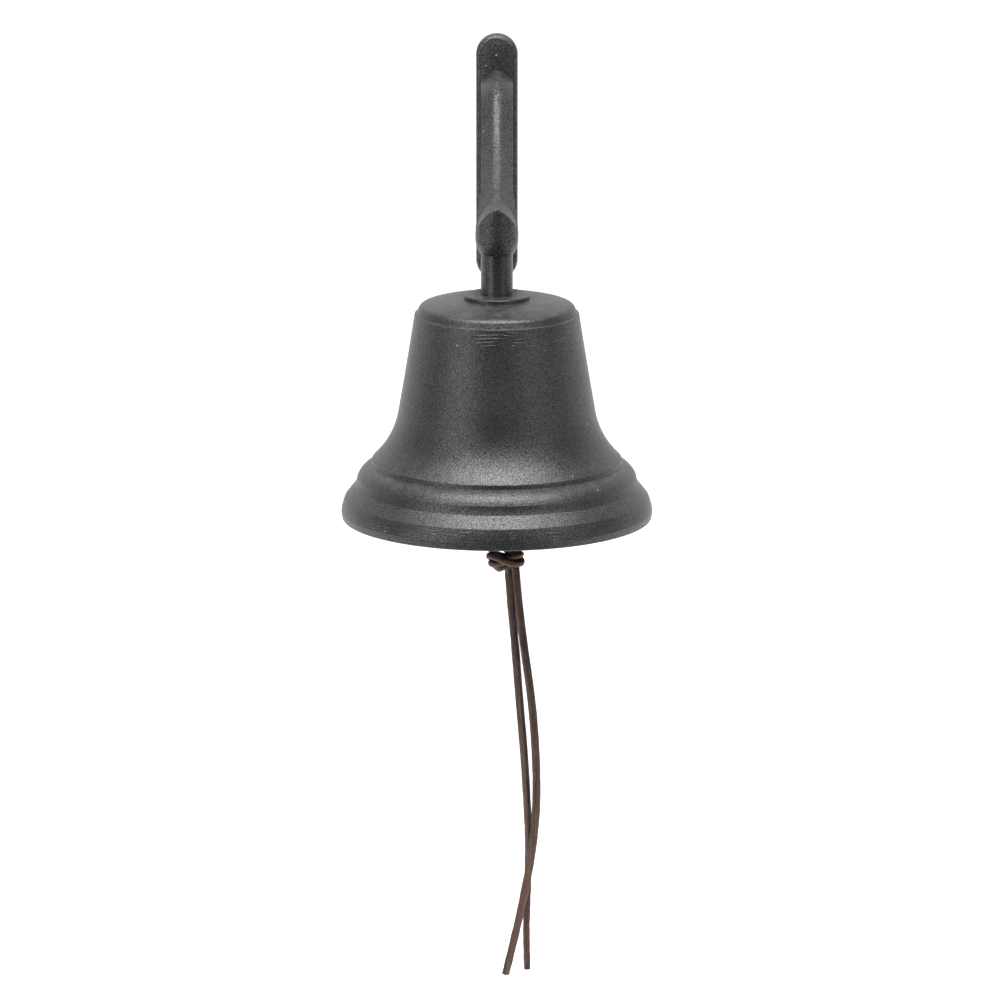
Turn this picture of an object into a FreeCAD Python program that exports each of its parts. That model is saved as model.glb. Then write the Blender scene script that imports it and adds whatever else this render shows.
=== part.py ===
import FreeCAD, Part
import math
import os

# Yard dinner bell on a cast wall bracket. Millimetres, +Z up, +Y into the wall.
# Every piece is drawn about the bell's own axis, with height 0 at the plane of the
# bell's lip, and is then moved so that the origin is the middle of the plate's back.

os.makedirs("parts", exist_ok=True)
V = FreeCAD.Vector
X_AXIS = V(1, 0, 0)
Y_AXIS = V(0, 1, 0)
Z_AXIS = V(0, 0, 1)

# ---- driving dimensions ------------------------------------------------------------
lip_radius = 76.2               # a 6 inch bell
bell_reach = 84.0               # wall to the bell's axis
plate_length = 123.4
plate_width = 20.6
plate_middle = 163.7            # height of the plate's middle above the lip
plate_thickness = 7.0
plate_crown = 1.0               # how far the plate's face is rounded across its width
plate_edge_round = 2.4

arm_width = 15.7
arm_roof_rise = 6.4             # ridge above the arm's shoulders
arm_depth = 15.0
ridge_round = 4.2
shoulder_round = 0.7
belly_round = 2.2
ridge_root_height = 208.0       # ridge where it leaves the plate
root_slope = 4.0                # degrees below level
steep_slope = 46.0
end_slope = 33.3
root_bend = 34.0                # radius of the ridge line's upper bend
steep_run = 9.7
sweep_bend = 189.0              # radius of its long lower bend

nose_radius = 10.5
nose_foot = 131.5
nose_foot_radius = 8.2
nose_waist = 138.2
hood_spring = 139.2             # where the pointed arch over the nose starts
hood_peak = 155.3
hood_bow = 2.3
hood_slope = 10.0               # degrees that the hood rises towards the wall
hood_rim_round = 0.9
hood_half_width = 10.6
cheek_half_width = 10.3         # the arm's flared end, at the nose
cheek_rise = 13.2
cheek_depth = 20.6

post_radius = 7.8
bolt_radius = 4.0
bolt_hole = 4.3
bolt_point = 1.0                # bevel at the bolt's end
thread_gap = 0.05
thread_depth = 16.5
drill_point_depth = 2.0
screw_hole = 3.25
screw_seat = 7.2
screw_seat_depth = 5.8          # seat's floor, out from the wall
screw_spacing = 63.5

crown_top = 108.9
crown_under = 103.4
washer_thickness = 2.2
washer_radius = 16.0
inner_washer_radius = 12.0
inner_washer_thickness = 1.6
lock_washer_radius = 7.4
lock_washer_thickness = 2.0
lock_washer_split = 1.2
collar_radius = 8.0
collar_thickness = 2.6

eye_centre = 90.0
eye_ring = 7.0                  # radius of the eye's wire centre line
eye_wire = 2.5
link_wire = 1.8
link_ring = 6.0
link_straight = 3.0
hang_gap = 0.25                 # slack where one ring hangs in another

clapper_rod_radius = 3.5
lug_half = 2.0
lug_hole = 3.2
lug_web = 3.0
ball_radius = 16.0
ball_centre = 11.0
ball_neck_radius = 6.4
ball_neck_top = 4.4
ball_neck_height = 6.0
ball_neck_sink = 1.6            # how far the neck starts inside the ball
tail_half = 1.75
tail_radius = 6.0
rim_bevel = 0.6
lace_hole = 3.0
lace_hole_height = -11.0

lace = 3.6                      # diameter of the leather lace
loop_ring = 3.9
knot_centre = V(4.7, 0, -22.8)
knot_half_length = 9.2
knot_half_height = 5.2

# Routes of the two lace ends below the knot, as points of the lace's centre line.
right_tail_route = [V(5.7, 0.9, -25.5), V(6.6, 1.0, -41.0), V(9.0, 1.2, -65.0),
                    V(11.0, 1.5, -92.5), V(13.4, 1.8, -120.0), V(14.9, 2.1, -145.0),
                    V(15.9, 2.2, -169.0), V(15.0, 2.2, -193.0), V(14.4, 1.8, -212.0),
                    V(15.0, 1.2, -230.5)]
left_tail_route = [V(9.1, -0.9, -25.5), V(10.4, -1.0, -41.0), V(13.2, -1.2, -65.0),
                   V(17.2, -1.5, -92.5), V(19.3, -1.8, -120.0), V(19.7, -2.1, -145.0),
                   V(17.6, -2.2, -169.0), V(13.2, -2.2, -193.0), V(8.9, -1.8, -213.0),
                   V(4.3, -1.2, -232.5)]


# ---- helpers -----------------------------------------------------------------------
def bowed(start, end, bow, plane_normal=Y_AXIS):
    """An edge from start to end, bowed to its right by bow, or straight when bow is 0."""
    if bow == 0:
        return Part.makeLine(start, end)
    along = end - start
    side = plane_normal.cross(along)
    side.normalize()
    middle = (start + end) * 0.5 + side * bow
    return Part.Arc(start, middle, end).toShape()


def outline(steps):
    """A closed wire in the XZ plane through (radius, height, bow) steps."""
    corners = [V(radius, 0, height) for radius, height, bow in steps]
    edges = []
    for index, step in enumerate(steps):
        following = corners[(index + 1) % len(corners)]
        edges.append(bowed(corners[index], following, step[2]))
    return Part.Wire(edges)


def turned(steps):
    """The solid that an outline of (radius, height, bow) steps makes about the Z axis."""
    return Part.Face(outline(steps)).revolve(V(0, 0, 0), Z_AXIS, 360)


def round_rings(solid, rings):
    """Round the circular edges named by (radius, height, rounding)."""
    for radius, height, rounding in rings:
        edges = [edge for edge in solid.Edges
                 if isinstance(edge.Curve, Part.Circle)
                 and abs(edge.Curve.Radius - radius) < 0.02
                 and abs(edge.Curve.Center.z - height) < 0.02]
        solid = solid.makeFillet(rounding, edges)
    return solid


def ring(outer, inner, low, thickness, rounding=0.0):
    """A flat washer about the Z axis."""
    disc = Part.makeCylinder(outer, thickness, V(0, 0, low))
    if rounding > 0:
        disc = round_rings(disc, [(outer, low + thickness, rounding)])
    return disc.cut(Part.makeCylinder(inner, thickness, V(0, 0, low)))


def corner(at, before, after, radius):
    """Start and end of the arc that rounds a corner, and the arc itself."""
    into = before - at
    out = after - at
    into.normalize()
    out.normalize()
    half = into.getAngle(out) / 2
    reach = radius / math.tan(half)
    bisector = into + out
    bisector.normalize()
    middle = at + bisector * (radius / math.sin(half) - radius)
    start = at + into * reach
    end = at + out * reach
    return start, end, Part.Arc(start, middle, end).toShape()


def rounded_polygon(points, rounds):
    """A closed wire with each of its corners rounded to the radius given for it."""
    count = len(points)
    arcs = [corner(points[i], points[i - 1], points[(i + 1) % count], rounds[i])
            for i in range(count)]
    edges = []
    for i in range(count):
        edges.append(arcs[i][2])
        edges.append(Part.makeLine(arcs[i][1], arcs[(i + 1) % count][0]))
    return Part.Wire(edges)


def lace_tube(name, route):
    """A lace along a route: straight runs joined by arcs as large as the runs allow."""
    edges = []
    radii = []
    here = route[0]
    for before, at, after in zip(route, route[1:], route[2:]):
        shorter = min((at - before).Length, (after - at).Length)
        turn = (at - before).getAngle(after - at)
        radius = 0.45 * shorter / math.tan(turn / 2)
        start, end, arc = corner(at, before, after, radius)
        edges.append(Part.makeLine(here, start))
        edges.append(arc)
        radii.append(radius)
        here = end
    edges.append(Part.makeLine(here, route[-1]))
    path = Part.Wire(edges)
    section = Part.Wire(Part.makeCircle(lace / 2, route[0], route[1] - route[0]))
    tube = path.makePipeShell([section], True, False)
    expected = math.pi * (lace / 2) ** 2 * path.Length
    print(name, "length", round(path.Length, 1), "radii", [round(radius) for radius in radii],
          "volume ratio", round(tube.Volume / expected, 4))
    return tube


# ---- wall bracket ------------------------------------------------------------------
def plate_section(full):
    """Edges of the plate's section across its width, or of its right half only."""
    half = plate_width / 2
    edge_face = plate_thickness - plate_crown - plate_edge_round
    back_right = V(half, 0, 0)
    side_top = V(half, -edge_face, 0)
    shoulder = V(half - plate_edge_round, plate_crown - plate_thickness, 0)
    turn = plate_edge_round * (1 - math.sqrt(0.5))
    corner_middle = V(half - turn, -(edge_face + plate_edge_round - turn), 0)
    crest = V(0, -plate_thickness, 0)
    right_corner = Part.Arc(side_top, corner_middle, shoulder).toShape()
    if not full:
        centre_to_crest = V(-shoulder.x, shoulder.y, 0)
        face = Part.Arc(shoulder, crest, centre_to_crest).toShape()
        radius = face.Curve.Radius
        angle = math.asin(shoulder.x / radius) / 2
        on_face = V(radius * math.sin(angle), -(plate_thickness - radius * (1 - math.cos(angle))), 0)
        return [Part.makeLine(V(0, 0, 0), back_right), Part.makeLine(back_right, side_top),
                right_corner, Part.Arc(shoulder, on_face, crest).toShape(),
                Part.makeLine(crest, V(0, 0, 0))]
    flip = [V(-point.x, point.y, 0) for point in (shoulder, corner_middle, side_top, back_right)]
    return [Part.makeLine(back_right, side_top), right_corner,
            Part.Arc(shoulder, crest, flip[0]).toShape(),
            Part.Arc(flip[0], flip[1], flip[2]).toShape(),
            Part.makeLine(flip[2], flip[3]), Part.makeLine(flip[3], back_right)]


def make_plate():
    """A long plate with round ends and a slightly crowned face, its back on the wall."""
    straight = plate_length - plate_width
    low = plate_middle - straight / 2
    middle = Part.Face(Part.Wire(plate_section(True))).extrude(V(0, 0, straight))
    half_face = Part.Face(Part.Wire(plate_section(False)))
    top = half_face.revolve(V(0, 0, 0), Y_AXIS, -180)
    bottom = half_face.revolve(V(0, 0, 0), Y_AXIS, 180)
    pieces = [(middle, low), (top, low + straight), (bottom, low)]
    for piece, height in pieces:
        piece.translate(V(0, bell_reach, height))
    return middle.fuse([top, bottom]).removeSplitter()


def ridge_line():
    """The arm's ridge as an S: level at the plate, steep halfway, easing at the nose."""
    def heading(slope):
        return V(0, -math.cos(math.radians(slope)), -math.sin(math.radians(slope)))

    def lean(slope):
        return V(0, -math.sin(math.radians(slope)), math.cos(math.radians(slope)))

    plate_front = bell_reach - plate_thickness
    start = V(0, plate_front, ridge_root_height) - heading(root_slope) * 2
    bend_start = start + heading(root_slope) * 4
    upper_centre = bend_start - lean(root_slope) * root_bend
    bend_middle = upper_centre + lean((root_slope + steep_slope) / 2) * root_bend
    bend_end = upper_centre + lean(steep_slope) * root_bend
    sweep_start = bend_end + heading(steep_slope) * steep_run
    lower_centre = sweep_start + lean(steep_slope) * sweep_bend
    sweep_middle = lower_centre - lean((steep_slope + end_slope) / 2) * sweep_bend
    sweep_end = lower_centre - lean(end_slope) * sweep_bend
    edges = [Part.makeLine(start, bend_start), Part.Arc(bend_start, bend_middle, bend_end).toShape(),
             Part.makeLine(bend_end, sweep_start),
             Part.Arc(sweep_start, sweep_middle, sweep_end).toShape()]
    return Part.Wire(edges), start, sweep_end


def house_section(at, slope, half_width, rise, depth):
    """The arm's house-shaped section, its ridge at a point and square to a slope."""
    up = V(0, -math.sin(math.radians(slope)), math.cos(math.radians(slope)))
    crest_lift = ridge_round * (1 / math.cos(math.atan2(rise, half_width)) - 1)
    top = at + up * crest_lift
    side = X_AXIS * half_width
    points = [top, top - side - up * rise, top - side - up * depth,
              top + side - up * depth, top + side - up * rise]
    rounds = [ridge_round, shoulder_round, belly_round, belly_round, shoulder_round]
    return rounded_polygon(points, rounds)


def make_nose():
    """The boss at the arm's end: a round barrel, tucked in below, under a pointed arch."""
    barrel = turned([(0, nose_foot, 0), (nose_foot_radius, nose_foot, 0.5),
                     (nose_radius, nose_waist, 0), (nose_radius, hood_peak + nose_radius, 0),
                     (0, hood_peak + nose_radius, 0)])
    front = -nose_radius - 1
    foot = nose_foot - nose_radius
    left, right = -hood_half_width, hood_half_width
    peak = V(0, front, hood_peak)
    arch = Part.Wire([Part.makeLine(V(right, front, foot), V(left, front, foot)),
                      Part.makeLine(V(left, front, foot), V(left, front, hood_spring)),
                      bowed(V(left, front, hood_spring), peak, -hood_bow),
                      bowed(peak, V(right, front, hood_spring), -hood_bow),
                      Part.makeLine(V(right, front, hood_spring), V(right, front, foot))])
    rise = -2 * front * math.tan(math.radians(hood_slope))
    nose = barrel.common(Part.Face(arch).extrude(V(0, -2 * front, rise)))
    rim = [edge for edge in nose.Edges
           if edge.BoundBox.ZMax > hood_spring and not isinstance(edge.Curve, Part.Line)]
    return nose.makeFillet(hood_rim_round, rim)


def make_wall_bracket():
    """Plate, arm and nose in one casting, with two screw holes and a threaded hole."""
    line, start, end = ridge_line()
    root_section = house_section(start, root_slope, arm_width / 2, arm_roof_rise, arm_depth)
    arm = line.makePipeShell([root_section], True, False)
    end_section = house_section(end, end_slope, arm_width / 2, arm_roof_rise, arm_depth)
    nose_section = house_section(V(0, 0, hood_peak), 0, cheek_half_width, cheek_rise, cheek_depth)
    cheek = Part.makeLoft([end_section, nose_section], True, True)
    bracket = make_plate().fuse([arm, cheek, make_nose()]).removeSplitter()
    drill = bolt_radius + thread_gap
    thread = Part.makeCylinder(drill, thread_depth, V(0, 0, nose_foot))
    drill_point = Part.makeCone(drill, 0.5, drill_point_depth, V(0, 0, nose_foot + thread_depth))
    bracket = bracket.cut(thread.fuse(drill_point))
    lower_hole = plate_middle - (plate_length - plate_width) / 2
    for height in (lower_hole, lower_hole + screw_spacing):
        hole = Part.makeCylinder(screw_hole, 20, V(0, bell_reach + 1, height), -Y_AXIS)
        seat = Part.makeCylinder(screw_seat, 10, V(0, bell_reach - screw_seat_depth, height), -Y_AXIS)
        bracket = bracket.cut(hole.fuse(seat))
    return bracket


# ---- bell and its hanging stack ------------------------------------------------------
def make_bell():
    """The open bell: lip band, cove, roll, groove, flare, waist and domed crown."""
    steps = [(bolt_hole, crown_under, 0), (31.0, crown_under, -1.3), (35.7, 98.4, 0.1),
             (45.3, 46.5, 2.0), (65.4, 9.5, -0.3), (68.6, 0, 0),
             (75.8, 0, 0.05), (lip_radius, 3.6, 0.25), (74.3, 10.4, 0),
             (69.7, 16.1, -0.2), (68.3, 20.4, 1.0), (61.4, 26.9, 0), (61.1, 29.2, -2.17),
             (48.3, 52.5, -0.15), (40.25, 101.1, 0.12), (39.9, 101.6, 0), (39.2, 101.8, 0),
             (38.5, 103.5, 0.47), (36.0, 106.1, 0.7), (17.0, crown_top, 0),
             (bolt_hole, crown_top, 0)]
    bell = turned(steps)
    return round_rings(bell, [(75.8, 0, 0.5), (68.6, 0, 1.6), (74.3, 10.4, 0.9),
                              (61.1, 29.2, 0.5)])


def make_hanger_post():
    """The round spacer sleeve between the crown and the bracket's nose."""
    washer_top = crown_top + washer_thickness
    return ring(post_radius, bolt_hole, washer_top, nose_foot - washer_top)


def make_lock_washer():
    """A split spring washer under the crown."""
    low = crown_under - inner_washer_thickness - lock_washer_thickness
    washer = ring(lock_washer_radius, bolt_hole, low, lock_washer_thickness)
    split = Part.makeBox(lock_washer_radius, lock_washer_split, lock_washer_thickness + 2,
                         V(0, -lock_washer_split / 2, low - 1))
    split.rotate(V(0, 0, 0), Z_AXIS, 35)
    return washer.cut(split)


def make_eye_bolt():
    """A shouldered eye bolt that clamps the bell and carries the clapper."""
    collar_top = crown_under - inner_washer_thickness - lock_washer_thickness
    collar_floor = collar_top - collar_thickness
    collar = Part.makeCylinder(collar_radius, collar_thickness, V(0, 0, collar_floor))
    collar = round_rings(collar, [(collar_radius, collar_floor, 0.8)])
    point_start = nose_foot + thread_depth - 2.5
    shank = Part.makeCylinder(bolt_radius, point_start - collar_top, V(0, 0, collar_top))
    point = Part.makeCone(bolt_radius, bolt_radius - bolt_point, bolt_point, V(0, 0, point_start))
    eye = Part.makeTorus(eye_ring, eye_wire, V(0, 0, eye_centre), X_AXIS)
    return collar.fuse([shank, point, eye]).removeSplitter()


# ---- clapper -----------------------------------------------------------------------
eye_floor = eye_centre - eye_ring                     # centre of the eye's lowest wire
link_top = eye_floor + eye_wire + link_wire + hang_gap
link_upper = link_top - link_ring
link_lower = link_upper - link_straight
link_floor = link_lower - link_ring                   # centre of the link's lowest wire


def make_link():
    """An oval ring that joins the clapper to the eye bolt."""
    section = Part.Face(Part.Wire(Part.makeCircle(link_wire, V(link_ring, 0, 0), Z_AXIS)))
    upper = section.revolve(V(0, 0, 0), Y_AXIS, -180)
    lower = section.revolve(V(0, 0, 0), Y_AXIS, 180)
    upper.translate(V(0, 0, link_upper))
    lower.translate(V(0, 0, link_lower))
    legs = [Part.makeCylinder(link_wire, link_straight, V(side * link_ring, 0, link_lower))
            for side in (-1, 1)]
    return upper.fuse([lower] + legs).removeSplitter()


def eye_plate(half, radius, hole, height):
    """A flat round eye with bevelled rims, its hole along X, centred at a height."""
    flat = half - rim_bevel
    body = Part.makeCylinder(radius, 2 * flat, V(-flat, 0, height), X_AXIS)
    rims = [Part.makeCone(radius, radius - rim_bevel, rim_bevel, V(side * flat, 0, height),
                          X_AXIS * side) for side in (-1, 1)]
    disc = body.fuse(rims)
    return disc, Part.makeCylinder(hole, 2 * half + 2, V(-half - 1, 0, height), X_AXIS)


def make_clapper_rod():
    """The forged rod: a flat eye above, a round stem, and a flat tail with the lace hole."""
    inner = link_ring - link_wire
    lug_floor = link_lower - math.sqrt(inner ** 2 - lug_half ** 2)
    hole_height = lug_floor + hang_gap - lug_hole
    lug, lug_cut = eye_plate(lug_half, lug_hole + lug_web, lug_hole, hole_height)
    stem_top = hole_height - lug_hole - 2.0
    stem = Part.makeCylinder(clapper_rod_radius, stem_top + 4.0, V(0, 0, -4.0))
    taper = Part.makeCone(clapper_rod_radius, lug_half - rim_bevel, 2.6, V(0, 0, stem_top))
    tail, tail_cut = eye_plate(tail_half, tail_radius, lace_hole, lace_hole_height)
    neck = Part.makeBox(2 * tail_half, 2 * tail_radius - 3, 7.5,
                        V(-tail_half, 1.5 - tail_radius, lace_hole_height))
    rod = stem.fuse([taper, lug, tail, neck]).removeSplitter()
    return rod.cut(lug_cut.fuse(tail_cut))


def make_clapper_ball(rod):
    """The iron ball cast round the rod, with a short neck on top."""
    ball = Part.makeSphere(ball_radius, V(0, 0, ball_centre))
    neck = Part.makeCone(ball_neck_radius, ball_neck_top, ball_neck_height,
                         V(0, 0, ball_centre + ball_radius - ball_neck_sink))
    return ball.fuse(neck).cut(rod)


# ---- lanyard -----------------------------------------------------------------------
def make_knot():
    """The outer shape of the knot, round about a level line."""
    half = Part.Ellipse(V(0, 0, 0), knot_half_length, knot_half_height)
    top = half.toShape(0, math.pi)
    base = Part.makeLine(V(-knot_half_length, 0, 0), V(knot_half_length, 0, 0))
    knot = Part.Face(Part.Wire([top, base])).revolve(V(0, 0, 0), X_AXIS, 360)
    knot.translate(knot_centre)
    return knot


def make_loop(knot):
    """The bight of lace through the clapper's tail, down both sides into the knot."""
    arch_height = lace_hole_height + 0.1 - loop_ring
    left = V(-loop_ring, 0, arch_height)
    right = V(loop_ring, 0, arch_height)
    left_foot = V(-0.6, 0, knot_centre.z)
    lean_start = left + (V(-loop_ring, 0, knot_centre.z) - left) * 0.3
    start, end, arc = corner(lean_start, left_foot, left, 4.0)
    edges = [Part.makeLine(left_foot, start), arc, Part.makeLine(end, left),
             Part.Arc(left, V(0, 0, arch_height + loop_ring), right).toShape(),
             Part.makeLine(right, V(loop_ring, 0, knot_centre.z))]
    path = Part.Wire(edges)
    section = Part.Wire(Part.makeCircle(lace / 2, left_foot, lean_start - left_foot))
    return path.makePipeShell([section], True, False).cut(knot)


def make_tail(name, route, knot):
    """One hanging end of the lace, from the knot down."""
    return lace_tube(name, route).cut(knot)


# ---- the whole bell ------------------------------------------------------------------
def make_pieces():
    rod = make_clapper_rod()
    knot = make_knot()
    inner_low = crown_under - inner_washer_thickness
    return {
        "wall_bracket": make_wall_bracket(),
        "hanger_post": make_hanger_post(),
        "crown_washer": ring(washer_radius, bolt_hole, crown_top, washer_thickness, 0.7),
        "bell": make_bell(),
        "inner_washer": ring(inner_washer_radius, bolt_hole, inner_low, inner_washer_thickness),
        "lock_washer": make_lock_washer(),
        "eye_bolt": make_eye_bolt(),
        "clapper_link": make_link(),
        "clapper_rod": rod,
        "clapper_ball": make_clapper_ball(rod),
        "lanyard_loop": make_loop(knot),
        "lanyard_knot": knot,
        "lanyard_tail_left": make_tail("lanyard_tail_left", left_tail_route, knot),
        "lanyard_tail_right": make_tail("lanyard_tail_right", right_tail_route, knot),
    }


origin_shift = V(0, -bell_reach, -plate_middle)
for name, shape in make_pieces().items():
    shape.translate(origin_shift)
    print(name, "solids", len(shape.Solids), "valid", shape.isValid(), "volume", round(shape.Volume))
    shape.exportStep("parts/" + name + ".step")
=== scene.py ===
"""Yard dinner bell on a cast wall bracket: finishes, leather lanyard, studio and camera."""

import logging
import math
from collections.abc import Sequence
from dataclasses import dataclass, field
from enum import Enum

import bpy
import numpy as np
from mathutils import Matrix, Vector


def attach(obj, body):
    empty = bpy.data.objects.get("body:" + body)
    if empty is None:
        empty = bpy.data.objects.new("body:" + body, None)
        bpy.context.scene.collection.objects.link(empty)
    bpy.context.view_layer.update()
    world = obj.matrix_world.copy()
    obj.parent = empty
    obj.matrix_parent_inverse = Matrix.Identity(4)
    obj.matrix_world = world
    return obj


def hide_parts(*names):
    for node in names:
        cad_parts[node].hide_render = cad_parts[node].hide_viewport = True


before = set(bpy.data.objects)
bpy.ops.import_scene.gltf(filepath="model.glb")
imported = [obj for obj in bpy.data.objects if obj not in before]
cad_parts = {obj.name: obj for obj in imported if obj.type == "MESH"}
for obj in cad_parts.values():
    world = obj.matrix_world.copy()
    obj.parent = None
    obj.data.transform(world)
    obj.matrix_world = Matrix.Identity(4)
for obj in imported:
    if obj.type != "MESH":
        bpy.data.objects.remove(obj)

LOG = logging.getLogger("dinner_bell")
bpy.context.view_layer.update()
MM = 0.001
BELL_AXIS_Y = -0.084  # the bell's axis, out from the wall
LIP_PLANE_Z = -0.1637  # the plane of the bell's lip, below the plate's middle

Colour = tuple[float, float, float]
Value = float | tuple[float, ...] | bpy.types.NodeSocket
Socket = bpy.types.NodeSocket
FULL_TURN = math.tau
TURNING_PITCH = 1.6 * MM  # from one turning mark to the next
CAP_STEP = 0.6 * MM  # the leather pattern's advance from ring to ring over a cut end
GOLDEN_TURN = 2.399963  # spreads points evenly over a sphere


# ---- places and numbers ------------------------------------------------------------
def from_bell(points: Sequence[tuple[float, float, float]]) -> np.ndarray:
    """Points about the bell's axis and lip plane, brought to the row frame.

    Args:
        points: rows of x, y, z in millimetres from the axis at the lip plane.

    Returns:
        The same points in metres in the row frame.
    """
    return np.array(points, float) * MM + np.array([0.0, BELL_AXIS_Y, LIP_PLANE_Z])


def linear(red: int, green: int, blue: int) -> Colour:
    """A colour given in screen values from 0 to 255, as linear light.

    Args:
        red: the red screen value.
        green: the green screen value.
        blue: the blue screen value.

    Returns:
        The three linear values, each from 0 to 1.
    """
    screen = np.array([red, green, blue]) / 255.0
    light = np.where(screen <= 0.04045, screen / 12.92, ((screen + 0.055) / 1.055) ** 2.4)
    return tuple(float(channel) for channel in light)


# ---- shader nodes ------------------------------------------------------------------
class Board:
    """A node tree with short ways to add nodes and to join them."""

    def __init__(self, tree: bpy.types.NodeTree) -> None:
        """Works on one node tree."""
        self.tree = tree

    def feed(self, socket: bpy.types.NodeSocket, value: Value) -> None:
        """Sets an input to a plain value, or links another node's output to it.

        Args:
            socket: the input to set.
            value: a number, a tuple, or an output socket.
        """
        if isinstance(value, bpy.types.NodeSocket):
            self.tree.links.new(value, socket)
        else:
            socket.default_value = value

    def add(
        self, kind: str, inputs: dict[str | int, Value] | None = None, **settings: object
    ) -> bpy.types.Node:
        """Adds a node with its settings and inputs.

        Args:
            kind: the node's type, such as ShaderNodeMath.
            inputs: input name or number to value or socket.
            **settings: the node's own properties.

        Returns:
            The new node.
        """
        node = self.tree.nodes.new(kind)
        for name, setting in settings.items():
            setattr(node, name, setting)
        for name, value in (inputs or {}).items():
            self.feed(node.inputs[name], value)
        return node

    def sum(self, operation: str, first: Value, second: Value = 0.0) -> Socket:
        """One step of arithmetic on values.

        Args:
            operation: the Math node's operation.
            first: its first input.
            second: its second input.

        Returns:
            The output socket.
        """
        return self.add("ShaderNodeMath", {0: first, 1: second}, operation=operation).outputs[0]

    def weighted(self, first: Value, first_share: float, second: Value, second_share: float) -> Socket:
        """Two values, each times its own share, added.

        Args:
            first: the first value.
            first_share: how much of it there is.
            second: the second value.
            second_share: how much of it there is.

        Returns:
            The output socket.
        """
        part = self.sum("MULTIPLY", first, first_share)
        return self.sum("ADD", part, self.sum("MULTIPLY", second, second_share))

    def finer(self, size: Value) -> Socket:
        """A noise scale, features to a metre, from the size of one feature."""
        return self.sum("DIVIDE", 1.0, size)

    def between(
        self, value: Value, low: float, high: float, start: float = 0.0, end: float = 1.0
    ) -> Socket:
        """Maps a value smoothly from a low-to-high span onto start to end.

        Args:
            value: the value to map.
            low: where the span begins.
            high: where it ends.
            start: the answer at or before low.
            end: the answer at or after high.

        Returns:
            The output socket.
        """
        inputs: dict[str | int, Value] = {0: value, 1: low, 2: high, 3: start, 4: end}
        return self.add("ShaderNodeMapRange", inputs, interpolation_type="SMOOTHSTEP").outputs[0]

    def blend(self, share: Value, first: Value, second: Value) -> Socket:
        """Mixes two colours.

        Args:
            share: how much of the second there is.
            first: the first colour.
            second: the second colour.

        Returns:
            The output socket.
        """
        node = self.add("ShaderNodeMix", data_type="RGBA")
        self.feed(node.inputs["Factor"], share)
        for name, value in (("A", first), ("B", second)):
            socket = next(s for s in node.inputs if s.name == name and s.type == "RGBA")
            self.feed(socket, (*value, 1.0) if isinstance(value, tuple) and len(value) == 3 else value)
        return next(s for s in node.outputs if s.type == "RGBA")

    def noise(self, vector: Value, scale: Value, detail: float = 2.0, roughness: float = 0.5) -> Socket:
        """A noise value centred on a half.

        Args:
            vector: the coordinates it reads.
            scale: how many features there are to a metre.
            detail: the number of finer layers.
            roughness: how strong the finer layers are.

        Returns:
            The output socket.
        """
        inputs: dict[str | int, Value] = {"Vector": vector, "Scale": scale}
        inputs |= {"Detail": detail, "Roughness": roughness}
        return self.add("ShaderNodeTexNoise", inputs).outputs[0]

    def bump(self, distance: float, height: Value) -> Socket:
        """A normal raised by a height.

        Args:
            distance: how far a height of one stands out, in metres.
            height: the height.

        Returns:
            The normal.
        """
        inputs: dict[str | int, Value] = {"Strength": 1.0, "Distance": distance, "Height": height}
        return self.add("ShaderNodeBump", inputs).outputs["Normal"]


def new_group(
    name: str, inputs: dict[str, float | None], outputs: dict[str, str]
) -> tuple[bpy.types.NodeTree, Board, bpy.types.Node, bpy.types.Node]:
    """Starts a shader node group with named sockets.

    Args:
        name: the group's name.
        inputs: input name to default number, or to None for a vector.
        outputs: output name to Float or Color.

    Returns:
        The group, a board on it, its input node and its output node.
    """
    group = bpy.data.node_groups.new(name, "ShaderNodeTree")
    for label, default in inputs.items():
        kind = "NodeSocketVector" if default is None else "NodeSocketFloat"
        socket = group.interface.new_socket(label, in_out="INPUT", socket_type=kind)
        if default is not None:
            socket.default_value = default
    for label, kind in outputs.items():
        group.interface.new_socket(label, in_out="OUTPUT", socket_type="NodeSocket" + kind)
    board = Board(group)
    return group, board, board.add("NodeGroupInput"), board.add("NodeGroupOutput")


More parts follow.
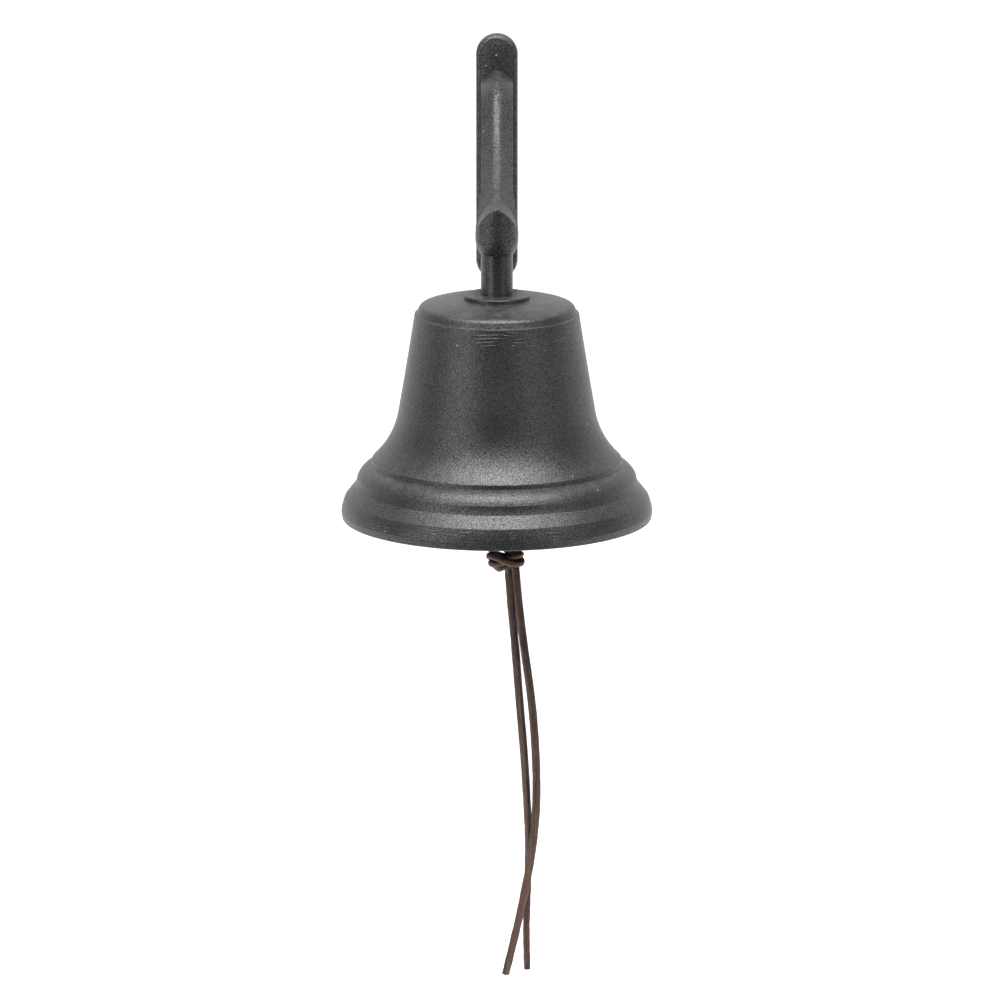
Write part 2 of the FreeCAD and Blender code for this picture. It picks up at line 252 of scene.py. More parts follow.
class Effects:
    """The surface effects that several finishes share, each a node group made once."""

    def __init__(self) -> None:
        """Makes every group."""
        self.grain = self._grain()
        self.specks = self._specks()
        self.edge_wear = self._edge_wear()
        self.dust = self._dust()
        self.turning = self._turning()
        self.hide = self._hide()

    @staticmethod
    def _grain() -> bpy.types.NodeTree:
        """The sandy skin of a baked powder coat: fine grain on softer orange peel and slow waves."""
        group, board, ins, outs = new_group(
            "coat_grain",
            {"Vector": None, "Grain Size": 0.001, "Peel Size": 0.004, "Peel Share": 0.4},
            {"Height": "Float", "Tone": "Float", "Sparkle": "Float"},
        )
        where = ins.outputs["Vector"]
        fine = board.noise(where, board.finer(ins.outputs["Grain Size"]), 2.0, 0.6)
        peel = board.noise(where, board.finer(ins.outputs["Peel Size"]), 1.0)
        share = ins.outputs["Peel Share"]
        fine_part = board.sum("MULTIPLY", fine, board.sum("SUBTRACT", 1.0, share))
        slow = board.noise(where, 38.0, 2.0)
        board.feed(outs.inputs["Height"], board.sum("ADD", fine_part, board.sum("MULTIPLY", peel, share)))
        board.feed(outs.inputs["Sparkle"], fine)
        board.feed(outs.inputs["Tone"], board.between(board.weighted(fine, 0.6, slow, 0.4), 0.3, 0.7))
        return group

    @staticmethod
    def _specks() -> bpy.types.NodeTree:
        """Scattered spots: some cells of a Voronoi pattern, each with a round spot at its middle."""
        group, board, ins, outs = new_group(
            "scattered_specks",
            {"Vector": None, "Spacing": 0.01, "Size": 0.05, "Share": 0.3},
            {"Mask": "Float"},
        )
        cells = board.add(
            "ShaderNodeTexVoronoi",
            {"Vector": ins.outputs["Vector"], "Scale": board.finer(ins.outputs["Spacing"])},
            feature="F1",
        )
        spot = board.sum("LESS_THAN", cells.outputs["Distance"], ins.outputs["Size"])
        chance = board.add("ShaderNodeSeparateColor", {"Color": cells.outputs["Color"]}).outputs[0]
        chosen = board.sum("LESS_THAN", chance, ins.outputs["Share"])
        board.feed(outs.inputs["Mask"], board.sum("MULTIPLY", spot, chosen))
        return group

    @staticmethod
    def _edge_wear() -> bpy.types.NodeTree:
        """Rubbed outer edges: where a rounded normal leaves the true one, broken up by noise."""
        group, board, ins, outs = new_group(
            "edge_wear", {"Vector": None, "Radius": 0.0008, "Break Size": 0.003}, {"Mask": "Float"}
        )
        soft = board.add("ShaderNodeBevel", {"Radius": ins.outputs["Radius"]}, samples=4).outputs[0]
        true = board.add("ShaderNodeNewGeometry").outputs["Normal"]
        compared = board.add("ShaderNodeVectorMath", {0: soft, 1: true}, operation="DOT_PRODUCT")
        edge = board.between(board.sum("SUBTRACT", 1.0, compared.outputs["Value"]), 0.01, 0.16)
        broken = board.noise(ins.outputs["Vector"], board.finer(ins.outputs["Break Size"]), 4.0, 0.65)
        board.feed(outs.inputs["Mask"], board.sum("MULTIPLY", edge, board.between(broken, 0.36, 0.66)))
        return group

    @staticmethod
    def _dust() -> bpy.types.NodeTree:
        """Dust on faces that look up, thicker in patches."""
        group, board, ins, outs = new_group(
            "settled_dust", {"Vector": None, "Patch Size": 0.006}, {"Mask": "Float"}
        )
        normal = board.add("ShaderNodeNewGeometry").outputs["Normal"]
        up = board.between(board.add("ShaderNodeSeparateXYZ", {0: normal}).outputs["Z"], 0.35, 1.0)
        patches = board.noise(ins.outputs["Vector"], board.finer(ins.outputs["Patch Size"]), 5.0, 0.7)
        board.feed(outs.inputs["Mask"], board.sum("MULTIPLY", up, board.between(patches, 0.4, 0.75)))
        return group

    @staticmethod
    def _turning() -> bpy.types.NodeTree:
        """Faint lathe marks: rings at even heights between two levels, broken round the part by noise."""
        group, board, ins, outs = new_group(
            "turning_marks", {"Vector": None, "Pitch": 0.0016, "Low": 0.0, "High": 0.01}, {"Height": "Float"}
        )
        level = board.add("ShaderNodeSeparateXYZ", {0: ins.outputs["Vector"]}).outputs["Z"]
        phase = board.sum("DIVIDE", level, ins.outputs["Pitch"])
        wobble = board.noise(ins.outputs["Vector"], 55.0, 1.0)
        shifted = board.sum("ADD", phase, board.sum("MULTIPLY", wobble, 1.5))
        rings = board.sum("SINE", board.sum("MULTIPLY", shifted, FULL_TURN))
        above = board.sum("GREATER_THAN", level, ins.outputs["Low"])
        below = board.sum("LESS_THAN", level, ins.outputs["High"])
        broken = board.between(board.noise(ins.outputs["Vector"], 90.0, 3.0), 0.46, 0.58)
        shown = board.sum("MULTIPLY", board.sum("MULTIPLY", above, below), broken)
        board.feed(outs.inputs["Height"], board.sum("MULTIPLY", board.between(rings, 0.2, 1.0), shown))
        return group

    @staticmethod
    def _hide() -> bpy.types.NodeTree:
        """Leather read along a lace, by metres along and turns round: streaks, patches and pores."""
        group, board, ins, outs = new_group(
            "lace_hide",
            {"Vector": None, "Streak": 60.0, "Pores": 900.0},
            {"Tone": "Float", "Red": "Float", "Height": "Float"},
        )
        parts = board.add("ShaderNodeSeparateXYZ", {0: ins.outputs["Vector"]})
        turn = board.sum("MULTIPLY", parts.outputs["Y"], FULL_TURN)
        lace_radius = 0.0018
        ring_x = board.sum("MULTIPLY", board.sum("COSINE", turn), lace_radius)
        ring_y = board.sum("MULTIPLY", board.sum("SINE", turn), lace_radius)

        def stretched(along_share: float) -> Socket:
            """Coordinates on the lace with the way along it squeezed, which draws features out."""
            along = board.sum("MULTIPLY", parts.outputs["X"], along_share)
            return board.add("ShaderNodeCombineXYZ", {0: along, 1: ring_x, 2: ring_y}).outputs[0]

        long_way, round_way = stretched(0.06), stretched(0.7)
        streak = board.noise(long_way, board.sum("MULTIPLY", ins.outputs["Streak"], 18.0), 3.0, 0.6)
        patch = board.noise(long_way, board.sum("MULTIPLY", ins.outputs["Streak"], 5.0), 2.0)
        pores = board.noise(round_way, ins.outputs["Pores"], 3.0, 0.65)
        board.feed(outs.inputs["Tone"], board.weighted(streak, 0.7, pores, 0.3))
        board.feed(outs.inputs["Red"], board.between(patch, 0.47, 0.62))
        board.feed(outs.inputs["Height"], board.weighted(streak, 0.6, pores, 0.4))
        return group


def placed(board: Board, group: bpy.types.NodeTree, **inputs: Value) -> bpy.types.Node:
    """Places a group in a material with its own values.

    Args:
        board: the material's board.
        group: the group to place.
        **inputs: input name, with _ for a space, to value or socket.

    Returns:
        The group's node.
    """
    node = board.add("ShaderNodeGroup", node_tree=group)
    for name, value in inputs.items():
        board.feed(node.inputs[name.replace("_", " ")], value)
    return node


def new_material(name: str) -> tuple[bpy.types.Material, Board, bpy.types.Node]:
    """Starts a material with a bare Principled shader.

    Args:
        name: the material's name.

    Returns:
        The material, a board on its nodes, and the shader node.
    """
    material = bpy.data.materials.new(name)
    material.use_nodes = True
    board = Board(material.node_tree)
    return material, board, material.node_tree.nodes["Principled BSDF"]


# ---- finishes ----------------------------------------------------------------------
@dataclass(frozen=True)
class PowderCoat:
    """Baked charcoal powder coat on cast or turned metal."""

    name: str
    paint: Colour = linear(33, 33, 34)
    rubbed: Colour = linear(96, 96, 97)
    roughness: float = 0.37
    grain_size: float = 0.00055
    peel_size: float = 0.0040
    peel_share: float = 0.2
    relief: float = 0.0002
    turned_bands: tuple[tuple[float, float], ...] = ()

    def material(self, effects: Effects) -> bpy.types.Material:
        """Builds the finish.

        Args:
            effects: the shared effects.

        Returns:
            The material.
        """
        material, board, shader = new_material(self.name)
        where = board.add("ShaderNodeTexCoord").outputs["Object"]
        sizes = {"Grain_Size": self.grain_size, "Peel_Size": self.peel_size, "Peel_Share": self.peel_share}
        grain = placed(board, effects.grain, Vector=where, **sizes)
        wear = placed(board, effects.edge_wear, Vector=where).outputs["Mask"]
        dust = placed(board, effects.dust, Vector=where).outputs["Mask"]
        pit_spots = placed(board, effects.specks, Vector=where, Spacing=0.008, Size=0.07, Share=0.4)
        fleck_spots = placed(board, effects.specks, Vector=where, Spacing=0.007, Size=0.06, Share=0.3)
        pits, flecks = pit_spots.outputs["Mask"], fleck_spots.outputs["Mask"]
        darker = tuple(channel * 0.8 for channel in self.paint)
        lighter = tuple(channel * 1.25 for channel in self.paint)
        colour = board.blend(grain.outputs["Tone"], darker, lighter)
        colour = board.blend(board.sum("MULTIPLY", wear, 0.4), colour, self.rubbed)
        colour = board.blend(board.sum("MULTIPLY", dust, 0.12), colour, linear(150, 149, 146))
        colour = board.blend(board.sum("MULTIPLY", pits, 0.7), colour, linear(14, 14, 14))
        colour = board.blend(board.sum("MULTIPLY", flecks, 0.55), colour, linear(170, 168, 164))
        board.feed(shader.inputs["Base Color"], colour)
        tone, sparkle = grain.outputs["Tone"], grain.outputs["Sparkle"]
        rough = board.between(tone, 0.0, 1.0, self.roughness - 0.04, self.roughness + 0.05)
        board.feed(shader.inputs["Roughness"], board.sum("ADD", rough, board.sum("MULTIPLY", dust, 0.12)))
        board.feed(shader.inputs["Specular IOR Level"], board.between(sparkle, 0.36, 0.64, 0.2, 1.0))
        height = board.sum("SUBTRACT", grain.outputs["Height"], board.sum("MULTIPLY", pits, 0.8))
        for low, high in self.turned_bands:
            marks = placed(board, effects.turning, Vector=where, Pitch=TURNING_PITCH, Low=low, High=high)
            height = board.sum("SUBTRACT", height, board.sum("MULTIPLY", marks.outputs["Height"], 0.5))
        board.feed(shader.inputs["Normal"], board.bump(self.relief, height))
        return material


@dataclass(frozen=True)
class PlatedSteel:
    """Zinc-plated steel: bright grey with a faint cloud and fine draw lines."""

    name: str
    plate: Colour = linear(168, 171, 176)
    roughness: float = 0.34

    def material(self, effects: Effects) -> bpy.types.Material:
        """Builds the finish.

        Args:
            effects: the shared effects.

        Returns:
            The material.
        """
        material, board, shader = new_material(self.name)
        where = board.add("ShaderNodeTexCoord").outputs["Object"]
        cloud = board.noise(where, 260.0, 4.0, 0.6)
        wear = placed(board, effects.edge_wear, Vector=where, Radius=0.0004).outputs["Mask"]
        dust = placed(board, effects.dust, Vector=where).outputs["Mask"]
        darker = tuple(channel * 0.72 for channel in self.plate)
        colour = board.blend(board.between(cloud, 0.35, 0.65), darker, self.plate)
        colour = board.blend(board.sum("MULTIPLY", wear, 0.5), colour, linear(120, 118, 114))
        colour = board.blend(board.sum("MULTIPLY", dust, 0.25), colour, linear(120, 116, 110))
        board.feed(shader.inputs["Base Color"], colour)
        shader.inputs["Metallic"].default_value = 1.0
        rough = board.between(cloud, 0.3, 0.7, self.roughness - 0.08, self.roughness + 0.1)
        board.feed(shader.inputs["Roughness"], rough)
        board.feed(shader.inputs["Normal"], board.bump(0.00003, board.noise(where, 1800.0, 3.0)))
        return material


@dataclass(frozen=True)
class BareIron:
    """Oiled forged iron with a rough skin and a few rust blooms."""

    name: str
    skin: Colour = linear(70, 69, 68)
    rust: Colour = linear(104, 62, 40)

    def material(self, effects: Effects) -> bpy.types.Material:
        """Builds the finish.

        Args:
            effects: the shared effects.

        Returns:
            The material.
        """
        material, board, shader = new_material(self.name)
        where = board.add("ShaderNodeTexCoord").outputs["Object"]
        grain = placed(board, effects.grain, Vector=where, Grain_Size=0.0014, Peel_Size=0.006, Peel_Share=0.5)
        bloom = board.between(board.noise(where, 150.0, 5.0, 0.7), 0.56, 0.7)
        wear = placed(board, effects.edge_wear, Vector=where, Radius=0.0007).outputs["Mask"]
        colour = board.blend(grain.outputs["Tone"], tuple(channel * 0.6 for channel in self.skin), self.skin)
        colour = board.blend(board.sum("MULTIPLY", wear, 0.7), colour, linear(140, 138, 134))
        colour = board.blend(board.sum("MULTIPLY", bloom, 0.6), colour, self.rust)
        board.feed(shader.inputs["Base Color"], colour)
        board.feed(shader.inputs["Metallic"], board.sum("SUBTRACT", 0.8, board.sum("MULTIPLY", bloom, 0.7)))
        board.feed(shader.inputs["Roughness"], board.between(grain.outputs["Tone"], 0.0, 1.0, 0.42, 0.6))
        board.feed(shader.inputs["Normal"], board.bump(0.00018, grain.outputs["Height"]))
        return material


@dataclass(frozen=True)
class LaceLeather:
    """Oiled brown leather lace: dark streaks on umber, red-brown patches, pale rubbed corners."""

    name: str
    dark: Colour = linear(28, 20, 15)
    mid: Colour = linear(62, 46, 35)
    pale: Colour = linear(112, 95, 80)
    red: Colour = linear(88, 48, 29)

    def material(self, effects: Effects) -> bpy.types.Material:
        """Builds the finish.

        Args:
            effects: the shared effects.

        Returns:
            The material.
        """
        material, board, shader = new_material(self.name)
        lace = board.add("ShaderNodeUVMap", uv_map="along_round").outputs[0]
        hide = placed(board, effects.hide, Vector=lace)
        corner = board.add("ShaderNodeAttribute", attribute_name="corner").outputs["Fac"]
        tone = hide.outputs["Tone"]
        colour = board.blend(board.between(tone, 0.4, 0.54), self.dark, self.mid)
        colour = board.blend(board.between(tone, 0.55, 0.7), colour, self.pale)
        colour = board.blend(board.sum("MULTIPLY", hide.outputs["Red"], 0.6), colour, self.red)
        rubbed = board.sum("MULTIPLY", corner, board.between(tone, 0.42, 0.6))
        colour = board.blend(board.sum("MULTIPLY", rubbed, 0.45), colour, self.pale)
        board.feed(shader.inputs["Base Color"], colour)
        board.feed(shader.inputs["Roughness"], board.between(tone, 0.35, 0.65, 0.5, 0.68))
        board.feed(shader.inputs["Normal"], board.bump(0.0002, hide.outputs["Height"]))
        return material


# ---- surfaces ----------------------------------------------------------------------
def route_line(name: str, route: np.ndarray, resolution: int) -> np.ndarray:
    """Reads the smooth line that a route's points control.

    The line is a NURBS curve of order 3 that starts and ends at the route's own ends.

    Args:
        name: a name for the curve.
        route: the control points, in metres.
        resolution: how many points the curve is read at for each control point.

    Returns:
        Points along the line, from the first end to the last.
    """
    curve = bpy.data.curves.new(name, "CURVE")
    curve.dimensions = "3D"
    curve.resolution_u = resolution
    spline = curve.splines.new("NURBS")
    spline.points.add(len(route) - 1)
    spline.points.foreach_set("co", np.c_[route, np.ones(len(route))].ravel())
    spline.order_u = 3
    spline.use_endpoint_u = True
    holder = bpy.data.objects.new(name, curve)
    mesh = bpy.data.meshes.new_from_object(holder)
    line = np.empty(len(mesh.vertices) * 3)
    mesh.vertices.foreach_get("co", line)
    bpy.data.objects.remove(holder)
    bpy.data.curves.remove(curve)
    bpy.data.meshes.remove(mesh)
    return line.reshape(-1, 3)


def unit(vectors: np.ndarray) -> np.ndarray:
    """Each row scaled to length one."""
    return vectors / np.linalg.norm(vectors, axis=-1, keepdims=True)


def even_steps(line: np.ndarray, count: int) -> tuple[np.ndarray, np.ndarray]:
    """Places points at even distances along a line.

    Args:
        line: points along the line.
        count: how many points to place.

    Returns:
        The placed points, and how far along each one is.
    """
    run = np.r_[0.0, np.cumsum(np.linalg.norm(np.diff(line, axis=0), axis=1))]
    at = np.linspace(0.0, run[-1], count)
    return np.stack([np.interp(at, run, line[:, axis]) for axis in range(3)], axis=1), at


def untwisted_sides(line: np.ndarray) -> tuple[np.ndarray, np.ndarray]:
    """Two directions square to a line that turn about it as little as they can.

    One fixed direction, the one that the line's heading keeps furthest from, is made square to the
    heading at every point. The small turn it makes about the heading from point to point is added
    up and taken out again.

    Args:
        line: points along the line.

    Returns:
        The first side direction and the second, one row to a point.
    """
    heading = unit(np.gradient(line, axis=0))
    index = np.arange(400)
    height = 1.0 - (index + 0.5) / 200.0
    spin = index * GOLDEN_TURN
    around = np.sqrt(1.0 - height**2)
    tries = np.stack([around * np.cos(spin), around * np.sin(spin), height], axis=1)
    steadiest = tries[np.abs(tries @ heading.T).max(axis=1).argmin()]
    side = unit(steadiest - (heading @ steadiest)[:, None] * heading)
    carried = side[:-1] - np.sum(side[:-1] * heading[1:], axis=1)[:, None] * heading[1:]
    sine = np.sum(np.cross(carried, side[1:]) * heading[1:], axis=1)
    turn = -np.r_[0.0, np.cumsum(np.arctan2(sine, np.sum(carried * side[1:], axis=1)))][:, None]
    other = np.cross(heading, side)
    first = side * np.cos(turn) + other * np.sin(turn)
    return first, np.cross(heading, first)


@dataclass
class LaceSection:
    """The rounded-square section of a leather lace, in metres."""

    half_width: float = 1.95 * MM
    half_thickness: float = 1.6 * MM
    squareness: float = 3.0
    around: int = 28
    wander: float = 0.05
    twist: float = 0.0
    start_turn: float = 0.0

    def swept(self, line: np.ndarray, at: np.ndarray, seed: int) -> tuple[np.ndarray, np.ndarray]:
        """Carries the section along a line.

        A point at turn t round the section is cos t and sin t, each raised to 2/squareness with its
        sign kept, times the half width and half thickness. These vary slowly along the lace by the
        wander share. The width starts start_turn from the X axis and turns by twist over the length.

        Args:
            line: the lace's centre line.
            at: how far along each of its points is.
            seed: seeds the slow variation.

        Returns:
            A grid of points, stations by turns, and each point's share of being a corner.
        """
        rng = np.random.default_rng(seed)
        side, other = untwisted_sides(line)
        turns = np.linspace(0.0, 2 * math.pi, self.around, endpoint=False)
        wave = np.abs(np.cos(turns)) ** (2 / self.squareness) * np.sign(np.cos(turns))
        rise = np.abs(np.sin(turns)) ** (2 / self.squareness) * np.sign(np.sin(turns))
        lengths = np.array([0.041, 0.023, 0.0127, 0.0071])
        phases = rng.uniform(0, 2 * math.pi, (2, len(lengths)))
        sway = np.sin(2 * math.pi * at[:, None, None] / lengths + phases).mean(axis=2)
        width = self.half_width * (1 + self.wander * sway[:, 0])
        thick = self.half_thickness * (1 + self.wander * sway[:, 1])
        level = math.atan2(other[0, 0], side[0, 0])
        angle = level + self.start_turn + self.twist * at / max(at[-1], 1e-9) + 0.25 * sway[:, 0]
        across = width[:, None] * wave
        through = thick[:, None] * rise
        spin_x = across * np.cos(angle)[:, None] - through * np.sin(angle)[:, None]
        spin_y = across * np.sin(angle)[:, None] + through * np.cos(angle)[:, None]
        grid = line[:, None] + spin_x[..., None] * side[:, None] + spin_y[..., None] * other[:, None]
        corner = np.tile(np.sin(2 * turns) ** 2, (len(line), 1))
        return grid, corner


def closed_tube(name: str, grid: np.ndarray, at: np.ndarray, corner: np.ndarray) -> bpy.types.Object:
    """A closed tube from a grid of rings, with flat cut ends.

    Each end is filled by three smaller rings that shrink to one point, the first nearly full size, so
    that the cut's edge stays crisp.

    Args:
        name: the piece's name.
        grid: ring by ring, the points round the tube.
        at: how far along each ring is.
        corner: each point's share of being a corner.

    Returns:
        The piece, with a UV map of metres along and turns round, and a corner attribute.
    """
    shares = np.array([0.93, 0.55, 0.15])[:, None, None]
    first_middle, last_middle = grid[0].mean(axis=0), grid[-1].mean(axis=0)
    start = (first_middle + (grid[0] - first_middle) * shares)[::-1]
    end = last_middle + (grid[-1] - last_middle) * shares
    rings = np.concatenate([start, grid, end])
    cap_steps = np.array([1.0, 2.0, 3.0]) * CAP_STEP
    along = np.r_[at[0] - cap_steps[::-1], at, at[-1] + cap_steps]
    marks = np.concatenate([np.repeat(corner[:1], 3, axis=0), corner, np.repeat(corner[-1:], 3, axis=0)])
    count, around = rings.shape[:2]
    points = np.concatenate([rings.reshape(-1, 3), [first_middle], [last_middle]])
    row, turn = np.meshgrid(np.arange(count - 1), np.arange(around), indexing="ij")
    following = (turn + 1) % around
    near, far = row * around, (row + 1) * around
    quads = np.stack([near + turn, near + following, far + following, far + turn], axis=-1).reshape(-1, 4)
    step = np.arange(around)
    first_pole, last_pole = count * around, count * around + 1
    last_ring = (count - 1) * around
    first_fan = np.stack([np.full(around, first_pole), (step + 1) % around, step], axis=1)
    last_turns = [last_ring + step, last_ring + (step + 1) % around]
    last_fan = np.stack([np.full(around, last_pole), *last_turns], axis=1)
    mesh = bpy.data.meshes.new(name)
    mesh.from_pydata(points.tolist(), [], quads.tolist() + first_fan.tolist() + last_fan.tolist())
    round_quads = np.stack([turn, turn + 1, turn + 1, turn], axis=-1).reshape(-1, 4) / around
    along_quads = np.stack([along[row], along[row], along[row + 1], along[row + 1]], axis=-1).reshape(-1, 4)
    fan_round = np.stack([step + 0.5, step + 1.0, step], axis=1) / around
    last_round = np.stack([step + 0.5, step, step + 1.0], axis=1) / around
    fan_along = [np.full(3 * around, along[0]), np.full(3 * around, along[-1])]
    u_values = np.concatenate([along_quads.ravel(), *fan_along])
    v_values = np.concatenate([round_quads.ravel(), fan_round.ravel(), last_round.ravel()])
    layer = mesh.uv_layers.new(name="along_round")
    layer.data.foreach_set("uv", np.stack([u_values, v_values], axis=1).astype(np.float32).ravel())
    attribute = mesh.attributes.new("corner", "FLOAT", "POINT")
    attribute.data.foreach_set("value", np.r_[marks.ravel(), 0.0, 0.0].astype(np.float32))
    mesh.polygons.foreach_set("use_smooth", np.ones(len(mesh.polygons), bool))
    mesh.update()
    piece = bpy.data.objects.new(name, mesh)
    bpy.context.scene.collection.objects.link(piece)
    return piece


# ---- the lanyard -------------------------------------------------------------------
@dataclass
class Lanyard:
    """The leather lace: a bight through the clapper, a doubled overhand knot, and two hanging ends."""

    body: str = "lanyard"
    slot: str = "lace_leather"
    diameter: float = 3.6 * MM
    right_route: np.ndarray = field(
        default_factory=lambda: from_bell(
            [
                (5.7, 0.9, -25.5), (6.6, 1.0, -41.0), (9.0, 1.2, -65.0), (11.0, 1.5, -92.5),
                (13.4, 1.8, -120.0), (14.9, 2.1, -145.0), (15.9, 2.2, -169.0), (15.0, 2.2, -193.0),
                (14.4, 1.8, -212.0), (15.0, 1.2, -230.5),
            ]
        )
    )
    left_route: np.ndarray = field(
        default_factory=lambda: from_bell(
            [
                (9.1, -0.9, -25.5), (10.4, -1.0, -41.0), (13.2, -1.2, -65.0), (17.2, -1.5, -92.5),
                (19.3, -1.8, -120.0), (19.7, -2.1, -145.0), (17.6, -2.2, -169.0), (13.2, -2.2, -193.0),
                (8.9, -1.8, -213.0), (4.3, -1.2, -232.5),
            ]
        )
    )
    front_strand: np.ndarray = field(
        default_factory=lambda: from_bell(
            [
                (0.0, 0.0, -9.2), (-2.6, 0.0, -9.3), (-3.9, 0.0, -11.8), (-3.7, 0.3, -15.0),
                (-2.4, 1.8, -18.4), (1.5, 3.3, -20.6), (7.0, 3.5, -21.4), (11.6, 1.8, -22.0),
                (12.2, -1.6, -23.2), (8.6, -3.9, -23.4), (3.0, -4.2, -21.4), (-2.4, -3.1, -19.4),
                (-4.1, -0.3, -19.8), (-1.0, 1.6, -22.4), (3.6, 0.4, -24.2), (7.6, -0.6, -24.6),
                (9.0, -1.0, -26.4), (9.3, -0.9, -29.0),
            ]
        )
    )
    back_strand: np.ndarray = field(
        default_factory=lambda: from_bell(
            [
                (0.0, 0.0, -9.2), (2.6, 0.0, -9.3), (3.9, 0.0, -11.8), (3.9, 0.4, -15.2),
                (5.4, 2.2, -18.2), (9.4, 2.6, -19.0), (12.0, 0.4, -18.9), (10.6, -2.4, -19.2),
                (7.0, -2.6, -20.2), (3.6, -1.4, -22.6), (-0.6, -3.2, -23.6), (-3.0, -1.4, -23.2),
                (-1.8, 2.2, -24.0), (0.4, 1.2, -26.2), (1.4, -1.7, -25.9), (3.6, -1.2, -24.6),
                (5.4, 0.9, -25.4), (5.8, 0.9, -29.0),
            ]
        )
    )

    def _tail(
        self, name: str, route: np.ndarray, seed: int, section: LaceSection
    ) -> tuple[bpy.types.Object, np.ndarray]:
        """One hanging end, swept along its route's line.

        Args:
            name: the piece's name.
            route: the route's control points.
            seed: seeds its small unevenness.
            section: the lace's section.

        Returns:
            The piece and its centre line.
        """
        line = route_line(name + "_line", route, 24)
        centre, at = even_steps(line, 240)
        grid, corner = section.swept(centre, at, seed)
        return closed_tube(name, grid, at, corner), line

    def _knot(self) -> list[bpy.types.Object]:
        """The bight through the clapper and the tied knot, as the two strands of one lace.

        Returns:
            The two strands, which meet over the top of the hole.
        """
        pieces = []
        for name, route, turn, seed in (
            ("knot_strand_front", self.front_strand, 0.7, 5),
            ("knot_strand_back", self.back_strand, 0.1, 11),
        ):
            centre, at = even_steps(route_line(name + "_line", route, 20), 300)
            section = LaceSection(1.72 * MM, 1.55 * MM, start_turn=turn, twist=1.6, around=32)
            grid, corner = section.swept(centre, at, seed)
            pieces.append(closed_tube(name, grid, at, corner))
        return pieces

    def build(self, leather: bpy.types.Material) -> None:
        """Builds and dresses every piece of the lanyard, and attaches each to the lanyard's body.

        Args:
            leather: the lace's finish.
        """
        front, back = self._knot()
        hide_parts("lanyard_knot", "lanyard_loop")
        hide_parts("lanyard_knot", "lanyard_loop")
        tails = []
        for name, node, route, seed, turn, twist in (
            ("lace_right", "lanyard_tail_right", self.right_route, 3, 0.15, 1.3),
            ("lace_left", "lanyard_tail_left", self.left_route, 8, -0.1, -0.9),
        ):
            piece, line = self._tail(name, route, seed, LaceSection(start_turn=turn, twist=twist))
            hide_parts(node)
            tails.append((piece, line))
        for piece in (front, back, tails[0][0], tails[1][0]):
            piece.data.materials.append(leather)
            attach(piece, self.body)
        for (piece, line), partners in zip(tails, ([front, back], [])):
            run = float(np.linalg.norm(np.diff(line, axis=0), axis=1).sum())
            LOG.info("%s hangs %.1f mm", piece.name, run / MM)


# ---- metalwork ---------------------------------------------------------------------
class Coating(Enum):
    """The finishes that the metal nodes are dressed in."""

    CASTING = "casting"
    BELL = "bell"
    STEEL = "steel"
    ZINC = "zinc"
    IRON = "iron"


@dataclass
class Metalwork:
    """The cast, turned and forged pieces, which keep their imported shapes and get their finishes."""

    dressing: dict[str, Coating] = field(
        default_factory=lambda: {
            "wall_bracket": Coating.CASTING,
            "bell": Coating.BELL,
            "hanger_post": Coating.STEEL,
            "crown_washer": Coating.STEEL,
            "inner_washer": Coating.ZINC,
            "lock_washer": Coating.ZINC,
            "eye_bolt": Coating.ZINC,
            "clapper_link": Coating.ZINC,
            "clapper_rod": Coating.IRON,
            "clapper_ball": Coating.IRON,
        }
    )

    def finishes(self, effects: Effects) -> dict[Coating, bpy.types.Material]:
        """Makes each metal finish once.

        Args:
            effects: the shared effects.

        Returns:
            The materials by their choice.
        """
        crown_band = (LIP_PLANE_Z + 93.0 * MM, LIP_PLANE_Z + 100.6 * MM)
        lip_band = (LIP_PLANE_Z + 1.0 * MM, LIP_PLANE_Z + 9.0 * MM)
        return {
            Coating.CASTING: PowderCoat("casting_coat", relief=0.00034, grain_size=0.00075).material(effects),
            Coating.BELL: PowderCoat("bell_coat", turned_bands=(crown_band, lip_band)).material(effects),
            Coating.STEEL: PowderCoat("steel_coat", roughness=0.33, relief=0.00012).material(effects),
            Coating.ZINC: PlatedSteel("zinc_plate").material(effects),
            Coating.IRON: BareIron("clapper_iron_skin").material(effects),
        }

    def dress(self, effects: Effects) -> None:
        """Gives every metal node its finish.

        Args:
            effects: the shared effects.
        """
        finishes = self.finishes(effects)
        for node, coating in self.dressing.items():
            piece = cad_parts[node]
            piece.data.materials.clear()
            piece.data.materials.append(finishes[coating])
            LOG.info("%s dressed in %s", node, finishes[coating].name)


# ---- studio ------------------------------------------------------------------------
@dataclass(frozen=True)
class Softbox:
    """One soft studio light, aimed at the bell."""

    name: str
    azimuth: float
    elevation: float
    distance: float
    width: float
    height: float
    power: float

    def place(self, target: np.ndarray) -> None:
        """Hangs the light on a sphere about a point, turned to face it.

        Args:
            target: the point that it lights.
        """
        around, up = math.radians(self.azimuth), math.radians(self.elevation)
        away = np.array([math.sin(around) * math.cos(up), -math.cos(around) * math.cos(up), math.sin(up)])
        lamp = bpy.data.lights.new(self.name, "AREA")
        lamp.shape = "RECTANGLE"
        lamp.size, lamp.size_y = self.width, self.height
        lamp.energy = self.power
        holder = bpy.data.objects.new(self.name, lamp)
        holder.location = target + away * self.distance
        aim = Vector(tuple(-away))
        holder.rotation_euler = aim.to_track_quat("-Z", "Y").to_euler()
        bpy.context.scene.collection.objects.link(holder)


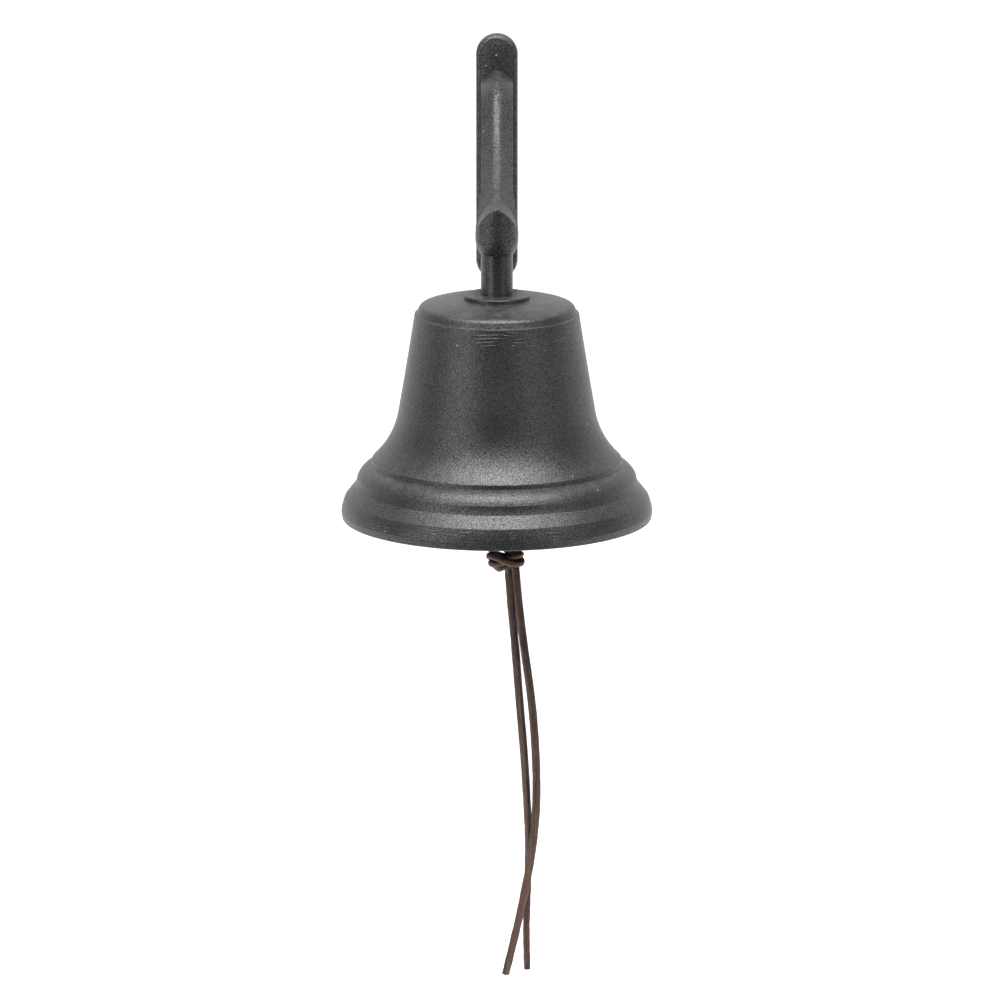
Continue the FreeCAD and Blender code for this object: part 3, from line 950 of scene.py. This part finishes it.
@dataclass
class Studio:
    """A pale floor, a pale room, softboxes and the long-lens camera."""

    floor_height: float = -0.75
    room: float = 1.0
    front: float = 0.05
    boxes: tuple[Softbox, ...] = (
        Softbox("overhead_box", 0.0, 69.0, 1.6, 2.0, 0.8, 66.0),
        Softbox("left_box", -46.0, 8.0, 1.6, 0.45, 1.2, 9.0),
        Softbox("right_box", 48.0, 8.0, 1.6, 0.5, 1.2, 4.0),
    )

    def _world(self) -> None:
        """A room that is bright behind the bell and dim behind the camera, and looks pale itself."""
        world = bpy.data.worlds.new("pale_room")
        world.use_nodes = True
        board = Board(world.node_tree)
        heading = board.add("ShaderNodeTexCoord").outputs["Generated"]
        depth = board.add("ShaderNodeSeparateXYZ", {0: heading}).outputs["Y"]
        level = board.between(depth, -0.25, 0.75, self.front, self.room)
        seen = board.add("ShaderNodeLightPath").outputs["Is Camera Ray"]
        strength = board.sum("MAXIMUM", level, seen)
        backdrop = world.node_tree.nodes["Background"]
        backdrop.inputs["Color"].default_value = (1.0, 1.0, 1.0, 1.0)
        board.feed(backdrop.inputs["Strength"], strength)
        bpy.context.scene.world = world

    def _floor(self) -> None:
        """A wide pale floor well below the bell."""
        reach_x, front, back = 7.0, -0.7, 10.0
        plan = [(-reach_x, front), (reach_x, front), (reach_x, back), (-reach_x, back)]
        corners = [(x, y, self.floor_height) for x, y in plan]
        mesh = bpy.data.meshes.new("floor")
        mesh.from_pydata(corners, [], [(0, 1, 2, 3)])
        floor = bpy.data.objects.new("floor", mesh)
        bpy.context.scene.collection.objects.link(floor)
        material, board, shader = new_material("pale_floor")
        where = board.add("ShaderNodeTexCoord").outputs["Object"]
        cloud = board.blend(board.noise(where, 3.0), (0.93, 0.93, 0.93), (0.96, 0.96, 0.96))
        board.feed(shader.inputs["Base Color"], cloud)
        shader.inputs["Roughness"].default_value = 0.9
        shader.inputs["Emission Color"].default_value = (1.0, 1.0, 1.0, 1.0)
        shader.inputs["Emission Strength"].default_value = 0.75
        mesh.materials.append(material)

    def _camera(self) -> None:
        """A long lens a little above the bell, looking down on it."""
        lens = bpy.data.cameras.new("long_lens")
        lens.lens = 342.0
        lens.sensor_width = 36.0
        lens.clip_start, lens.clip_end = 0.1, 60.0
        camera = bpy.data.objects.new("camera", lens)
        place = Vector((0.00152, -4.622, 0.88065))
        target = Vector((0.00152, -0.084, -0.155575))
        camera.location = place
        camera.rotation_euler = (target - place).to_track_quat("-Z", "Y").to_euler()
        bpy.context.scene.collection.objects.link(camera)
        bpy.context.scene.camera = camera

    def build(self) -> None:
        """Sets up the whole studio."""
        self._world()
        self._floor()
        self._camera()
        target = np.array([0.0, BELL_AXIS_Y, -0.1])
        for box in self.boxes:
            box.place(target)
        bpy.context.scene.view_settings.view_transform = "Standard"
        LOG.info("studio set with %d softboxes", len(self.boxes))


def main() -> None:
    """Builds the studio, the lanyard and the finishes, in that order."""
    logging.basicConfig(level=logging.INFO, format="%(name)s: %(message)s")
    Studio().build()
    effects = Effects()
    leather = LaceLeather("lace_hide_brown").material(effects)
    Lanyard().build(leather)
    Metalwork().dress(effects)


if __name__ == "__main__":
    main()
